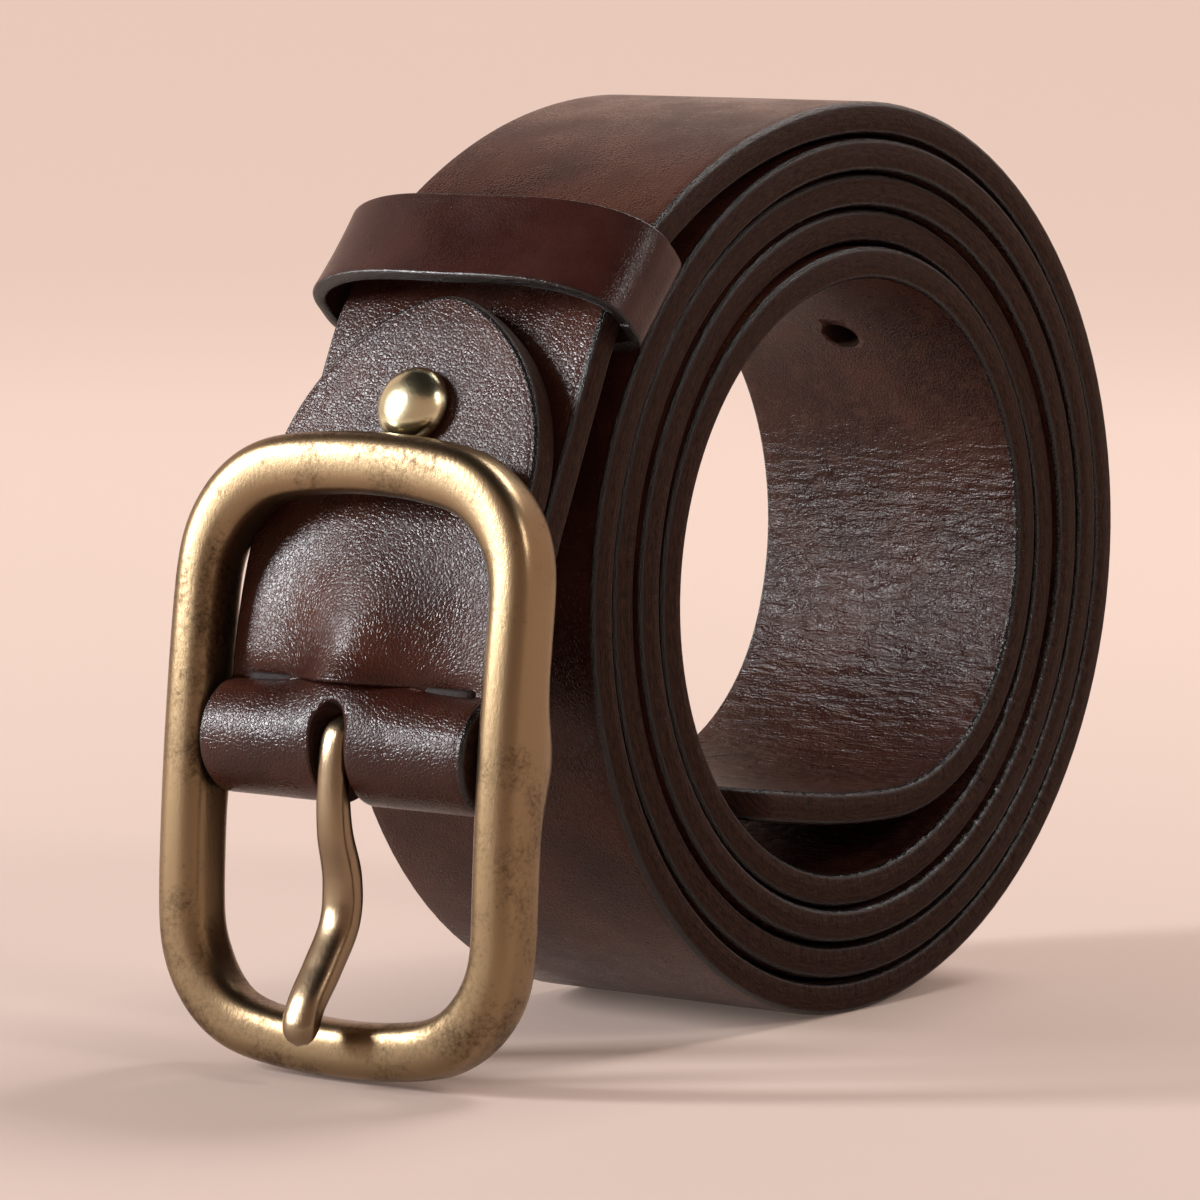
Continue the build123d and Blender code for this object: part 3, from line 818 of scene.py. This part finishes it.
antique = brass("antique_brass", (0.26, 0.185, 0.104), (0.075, 0.048, 0.026), 0.31, 0.19, 0.35)
prong_brass = brass("worn_brass", (0.27, 0.20, 0.125), (0.075, 0.052, 0.034), 0.26, 0.09, 0.15)
polished = brass("polished_brass", (0.80, 0.76, 0.50), (0.56, 0.50, 0.28), 0.23, 0.02, 1.0)
for node, material in (("centre_bar", antique), ("rivet_post", polished)):
    mesh = frame["nodes"][node].data
    mesh.materials.clear()
    mesh.materials.append(material)
print("brass on the bar and the rivet's post")

# %% [markdown]
# ## The buckle frame
#
# The frame is a ring. Its inner and outer outlines are rounded oblongs with the same number of
# points in the same places, so the section between two matching points is easy: its middle is
# half way, its half width is half the gap, and its depth is set apart. Its front lies on a
# gentle arch. Where the bar goes in, each rail swells backwards into a boss.

# %% Outlines of the ring
frame_tilt, inner_width, rail_width = 5.3, 38.8, 5.4
upper_length, lower_length, top_bar, bottom_bar = 34.9, 36.8, 7.0, 6.4
frame_front, arch_radius, rail_extra = 5.8, 320.0, 0.6
frame_lean = 1j * unit(180 - frame_tilt) * -1
ahead_of_frame = unit(180 - frame_tilt)


def ring_outline(half_width, top, bottom, corner, crown):
    """A closed outline, X + iY: a quarter circle at each corner, straight sides and crowned ends."""
    turn = np.linspace(0, np.pi / 2, 16)
    right, upper, lower = half_width - corner, top - crown - corner, crown + corner - bottom
    across, along = np.array([right, -right, -right, right]), np.array([upper, upper, lower, lower])
    centres = across + 1j * along
    quarter_turns = np.arange(4) * np.pi / 2
    corners = centres[:, None] + corner * np.exp(1j * (turn + quarter_turns[:, None]))
    share = np.linspace(0, 1, 26)[1:-1]
    pieces = []
    for quarter in range(4):
        start, stop = corners[quarter][-1], corners[(quarter + 1) % 4][0]
        pieces += [corners[quarter], start + (stop - start) * share]
    line = np.concatenate(pieces)
    rise = crown * np.clip(1 - (line.real / half_width) ** 2, 0, 1)
    end = np.abs(line.imag) > 0.55 * np.minimum(top, bottom)
    return line + 1j * np.sign(line.imag) * rise * end * np.clip((np.abs(line.imag) - 15) / 10, 0, 1)


def soften(values, times):
    """Rounds off a closed row of values by averaging neighbours."""
    for _ in range(times):
        values = (np.roll(values, 1) + 2 * values + np.roll(values, -1)) / 4
    return values


outer_half = inner_width / 2 + rail_width + rail_extra
window_top, window_bottom = upper_length - top_bar, lower_length - bottom_bar
outer_corner, outer_crown, inner_corner, inner_crown = 11.5, 3.6, 7.5, 3.0
outer = ring_outline(outer_half, upper_length, lower_length, outer_corner, outer_crown)
inner = ring_outline(inner_width / 2, window_top, window_bottom, inner_corner, inner_crown)
outer, inner = soften(outer, 10), soften(inner, 6)
print("ring points:", len(outer))

# %% The ring's surface
ring_middle = (outer + inner) / 2
ring_half = np.abs(outer - inner) / 2
ring_out = (outer - inner) / np.abs(outer - inner)
height = ring_middle.imag
front_face = frame_front - arch_radius + np.sqrt(arch_radius**2 - height**2)
boss = bump(height, 0, 4.6) * (np.abs(ring_middle.real) > 15)
front_half = 3.0
rail = np.clip((np.abs(ring_middle.real) - 16) / 5, 0, 1)
back_half = 2.9 + 1.2 * rail + 2.0 * boss
seat = front_face - front_half
around = np.linspace(0, 2 * np.pi, 41)[:-1]
power = np.where(np.sin(around) > 0, 2.9, 3.6)
wide = np.sign(np.cos(around)) * np.abs(np.cos(around)) ** (2 / power)
deep = np.sign(np.sin(around)) * np.abs(np.sin(around)) ** (2 / power)
depth = np.where(deep > 0, front_half, back_half[:, None])
narrow = 1 - 0.16 * boss[:, None] * np.clip(-deep, 0, 1) ** 2
in_plane = ring_middle[:, None] + ring_out[:, None] * ring_half[:, None] * wide * narrow
forward = seat[:, None] + depth * deep
side_view = bar + frame_lean * in_plane.imag + ahead_of_frame * forward
frame_points = np.stack([in_plane.real, side_view.real, side_view.imag], -1) * MM
buckle = skin("buckle_ring", frame_points, wrap_rows=True)
smooth = buckle.modifiers.new("smooth", "SUBSURF")
smooth.levels = smooth.render_levels = 1
buckle.data.materials.append(antique)
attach(buckle, "buckle")
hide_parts("buckle_frame")
lowest = round(float(frame_points[..., 2].min()), 5)
print("buckle", [round(v, 4) for v in buckle.dimensions], "lowest", lowest)

# %% [markdown]
# ## The prong
#
# The prong is a flat bar whose end is bent round the centre bar. So it is one section carried
# along one line: round the bar from below, over the top, then down the front in a dip and out
# to just above the bottom bar. The section is narrow at the eye, widest in the shank, and
# closes to a rounded tip. The line through the few points that shape it is a Catmull-Rom curve.

# %% A smooth line through a few points
def through(points, per_span):
    """Catmull-Rom: between two points, a cubic whose slope at each is half the step from the
    point before to the point after."""
    padded = np.concatenate([[2 * points[0] - points[1]], points, [2 * points[-1] - points[-2]]])
    t = np.linspace(0, 1, per_span + 1)[:-1][None, :]
    p0, p1, p2, p3 = (padded[k:len(padded) - 3 + k][:, None] for k in range(4))
    cubic = 2 * p1 + (p2 - p0) * t
    cubic = cubic + (2 * p0 - 5 * p1 + 4 * p2 - p3) * t**2 + (3 * p1 - p0 - 3 * p2 + p3) * t**3
    return np.append((cubic / 2).ravel(), points[-1])


eye_radius = bar_radius + 0.06 + 1.25
hook_turn = np.array([262, 225, 185, 145, 105, 70, 35, 5])
hook = (eye_radius + np.clip(75 - hook_turn, 0, 70) / 60) * np.exp(1j * np.radians(hook_turn))
shank_ahead = np.array([5.0, 4.3, 2.6, 2.6, 5.2, 7.8, 8.8])
shank_down = np.array([4.5, 9.5, 14.5, 19.5, 24.5, 28.8, 33.0])
shank = shank_ahead - 1j * shank_down
prong_line = through(np.concatenate([hook, shank]), 10)
step = np.concatenate([[0], np.cumsum(np.abs(np.diff(prong_line)))])
share = step / step[-1]
near_end = np.clip(np.minimum(step / 1.3, (step[-1] - step) / 2.6), 0, 1)
end_round = np.sqrt(near_end * (2 - near_end))
wide_at, half_wide = [0, 0.38, 0.50, 0.66, 0.86, 1], [1.8, 1.85, 2.0, 2.35, 2.3, 2.2]
prong_wide = np.interp(share, wide_at, half_wide) * end_round
prong_thick = np.interp(share, [0, 0.40, 0.60, 0.85, 1], [1.2, 1.3, 1.7, 1.6, 1.35]) * end_round
way = np.gradient(prong_line)
normal = 1j * way / np.abs(way)
around = np.linspace(0, 2 * np.pi, 29)[:-1]
wide = np.sign(np.cos(around)) * np.abs(np.cos(around)) ** (2 / 2.7)
thick = np.sign(np.sin(around)) * np.abs(np.sin(around)) ** (2 / 2.7)
in_side = prong_line[:, None] + normal[:, None] * prong_thick[:, None] * thick
side_view = bar + ahead_of_frame * in_side.real + frame_lean * in_side.imag
prong_points = np.stack([prong_wide[:, None] * wide, side_view.real, side_view.imag], -1) * MM
prong = skin("buckle_prong", prong_points)
prong.data.materials.append(prong_brass)
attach(prong, "prong")
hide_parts("prong")
print("prong length:", round(step[-1], 1), "mm")

# %% [markdown]
# ## The rivet
#
# The rivet's cap is spun brass: a tall dome that curls under at its rim. A curve turned about
# the rivet's axis makes it. It stands on the front of the fold, square to the straight run.

# %% A dome turned about its axis
rivet_below_neck, rivet_radius, rivet_rise, rim_height = 8.7, 4.55, 2.9, 0.55
rivet_at = neck_start - rivet_below_neck
rivet_point, _ = trace(coil_line, np.array([rivet_at]))
out = 1j * unit(neck_turn)
base = rivet_point[0] + out * (stack - half)
rise = np.radians(np.concatenate([np.linspace(-35, 0, 5), np.linspace(6, 90, 15)]))
curled_under = rise < 0
dome_radius = np.where(curled_under, 1 - 0.5 * (1 - np.cos(rise)), np.abs(np.cos(rise)) ** 0.85)
dome_radius = rivet_radius * dome_radius
dome_height = rivet_rise * np.abs(np.sin(rise)) ** 1.05
dome_height = np.where(curled_under, 0.75 * np.sin(rise), dome_height)
dome_height = rim_height + dome_height
profile_radius = np.concatenate([[0], dome_radius])
profile_height = np.concatenate([[dome_height[0]], dome_height])
angle = np.linspace(0, 2 * np.pi, 65)[:-1]
dome_up = profile_radius[:, None] * np.sin(angle)
dome_side = base + out * profile_height[:, None] + unit(neck_turn) * dome_up
dome_x = profile_radius[:, None] * np.cos(angle)
rivet = skin("rivet_dome", np.stack([dome_x, dome_side.real, dome_side.imag], -1) * MM)
rivet.data.materials.append(polished)
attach(rivet, "strap")
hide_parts("rivet_cap")
print("rivet base at", base)

# %% The floor's paint and its painted glow
floor_paint_and_glow, tree, shader = new_material("stage_paint_and_glow")
shader.inputs["Base Color"].default_value = (0.50, 0.395, 0.345, 1)
shader.inputs["Roughness"].default_value = 0.8
# painted light: the floor glows, faintly by the belt, more with distance and most behind it
shader.inputs["Emission Color"].default_value = (0.70, 0.545, 0.47, 1)
place = object_place(tree)
far_off = add_node(tree, "VectorMath", {"operation": "LENGTH"}, _0=place).outputs["Value"]
behind = spread(tree, part_of(tree, place, "Y"), -0.7, 0.3, 0.3, 1.0)
glow = math(tree, "MULTIPLY", spread(tree, far_off, 0.0, 1.0, 0.14, 0.74), behind)
tree.links.new(glow, shader.inputs["Emission Strength"])
floor.data.materials.append(floor_paint_and_glow)
